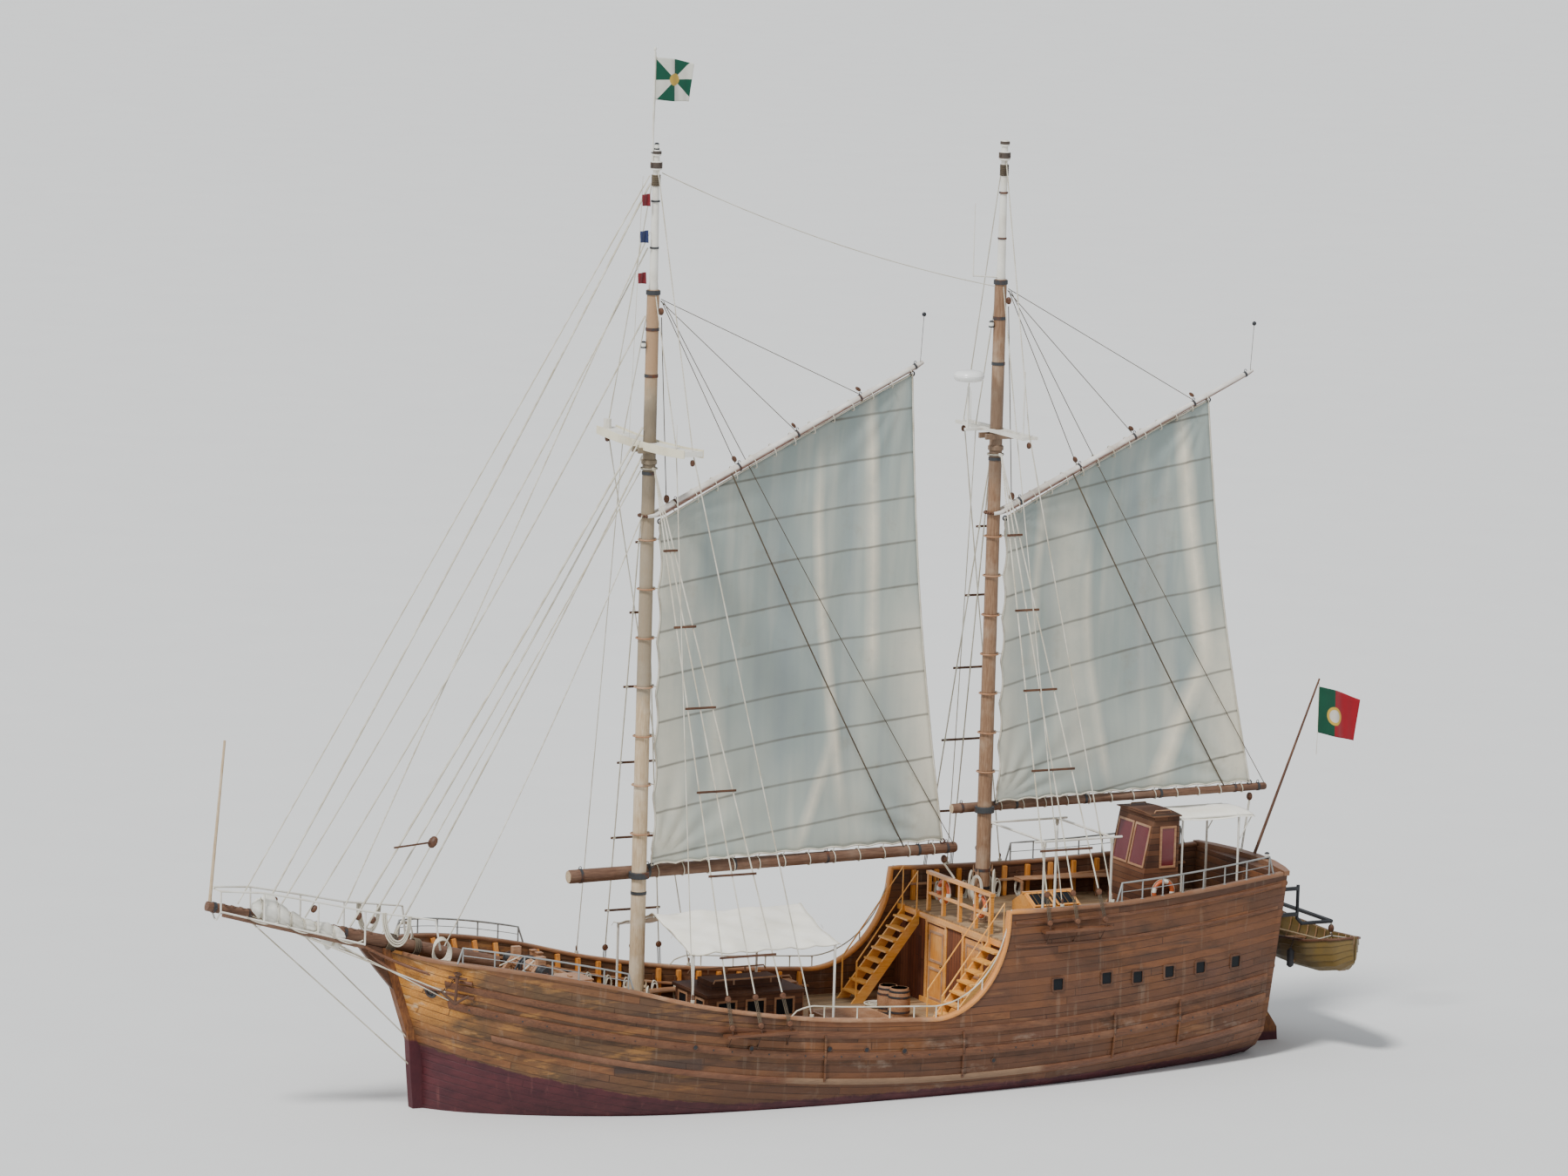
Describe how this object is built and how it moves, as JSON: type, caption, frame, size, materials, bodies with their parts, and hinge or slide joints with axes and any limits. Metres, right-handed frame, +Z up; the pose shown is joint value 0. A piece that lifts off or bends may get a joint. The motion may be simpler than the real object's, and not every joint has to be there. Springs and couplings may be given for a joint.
{
  "type": "two-masted gaff-rigged wooden ship",
  "caption": "Wooden two-masted sailing ship with gaff sails set, a high aft castle, bowsprit, rudder and propeller, shown afloat.",
  "frame": {"origin": "amidships on the centreline, on the waterline the ship floats at", "axes": "+X towards the bow, +Y towards port, +Z up"},
  "size_m": [28.1444, 6.5418, 24.6],
  "materials": {
    "varnished_planks": "weathered varnish over brown planking",
    "antifouling": "matt maroon bottom paint on timber",
    "orange_varnish": "glossy orange varnish, worn pale at the edges",
    "pale_wood": "weathered pale spar",
    "dark_wood": "dark oiled timber",
    "deck_wood": "bare scrubbed deck planks",
    "canvas": "weathered grey-beige sailcloth with dark seams",
    "cream_cloth": "cream awning cloth",
    "white_paint": "chalky white paint",
    "white_plastic": "glossy white",
    "rope": "laid grey rope",
    "steel": "dark galvanised steel with rust",
    "bronze": "tarnished bronze",
    "green_flag": "green and white bunting",
    "red_flag": "green and red bunting",
    "yellow_paint": "worn yellow boat paint"
  },
  "bodies": {
    "ship": {"hull": "varnished_planks", "backbone": "antifouling", "castle_side_port": "varnished_planks", "castle_side_starboard": "varnished_planks", "bulwark_port": "varnished_planks", "bulwark_starboard": "varnished_planks", "cap_rail_port": "orange_varnish", "cap_rail_starboard": "orange_varnish", "transom": "varnished_planks", "taffrail": "orange_varnish", "forecastle": "deck_wood", "quarterdeck": "deck_wood", "cabin_front": "dark_wood", "breast_rail": "orange_varnish", "stair_port": "orange_varnish", "stair_starboard": "orange_varnish", "companion_house": "dark_wood", "awning": "cream_cloth", "awning_frame": "white_paint", "bowsprit": "dark_wood", "pulpit": "white_paint", "jackstaff": "pale_wood", "furled_headsail": "cream_cloth", "anchor_port": "steel", "anchor_starboard": "steel", "foremast": "pale_wood", "mainmast": "orange_varnish", "fore_topmast": "white_paint", "main_topmast": "white_paint", "fore_spreader": "white_paint", "main_spreader": "white_paint", "radar_dome": "white_plastic", "forestay_outer": "rope", "forestay_inner": "rope", "forestay_lower": "rope", "fore_shrouds_port": "rope", "fore_shrouds_starboard": "rope", "main_shrouds_port": "rope", "main_shrouds_starboard": "rope", "skylight": "orange_varnish", "quarterdeck_frame": "white_paint", "helm_shelter": "dark_wood", "helm_pedestal": "dark_wood", "aft_awning": "cream_cloth", "ensign_staff": "dark_wood", "ensign": "red_flag", "masthead_flag": "green_flag", "tender": "yellow_paint", "tender_davits": "steel"},
    "fore_rig": {"fore_boom": "dark_wood", "fore_gaff": "pale_wood", "fore_sail": "canvas"},
    "main_rig": {"main_boom": "dark_wood", "main_gaff": "pale_wood", "main_sail": "canvas"},
    "port_door": {"cabin_door_port": "orange_varnish"},
    "starboard_door": {"cabin_door_starboard": "orange_varnish"},
    "rudder": {"rudder": "dark_wood"},
    "helm": {"helm_wheel": "orange_varnish"},
    "propeller": {"propeller": "bronze"}
  },
  "joints": [
    {"name": "fore_rig_swing", "type": "hinge", "parent": "ship", "child": "fore_rig", "pos_m": [4.25, 0, 8.8], "axis": [0, 0, 1], "range_deg": [-40, 40]},
    {"name": "main_rig_swing", "type": "hinge", "parent": "ship", "child": "main_rig", "pos_m": [-4.2, 0, 9], "axis": [0, 0, 1], "range_deg": [-40, 40]},
    {"name": "port_door_swing", "type": "hinge", "parent": "ship", "child": "port_door", "pos_m": [-3.555, 1.246, 2.05], "axis": [0, 0, 1], "range_deg": [0, 95]},
    {"name": "starboard_door_swing", "type": "hinge", "parent": "ship", "child": "starboard_door", "pos_m": [-3.555, -1.246, 2.05], "axis": [0, 0, -1], "range_deg": [0, 95]},
    {"name": "rudder_swing", "type": "hinge", "parent": "ship", "child": "rudder", "pos_m": [-11.09, 0, -0.5], "axis": [0, 0, 1], "range_deg": [-35, 35]},
    {"name": "helm_turn", "type": "hinge", "parent": "ship", "child": "helm", "pos_m": [-8.56, 0, 4.2], "axis": [1, 0, 0], "range_deg": [-280, 280]},
    {"name": "propeller_spin", "type": "hinge", "parent": "ship", "child": "propeller", "pos_m": [-9.85, 0, -1.18], "axis": [1, 0, 0], "continuous": true}
  ],
  "couplings": [
    {"joint": "helm_turn", "follows": "rudder_swing", "ratio": 8}
  ]
}
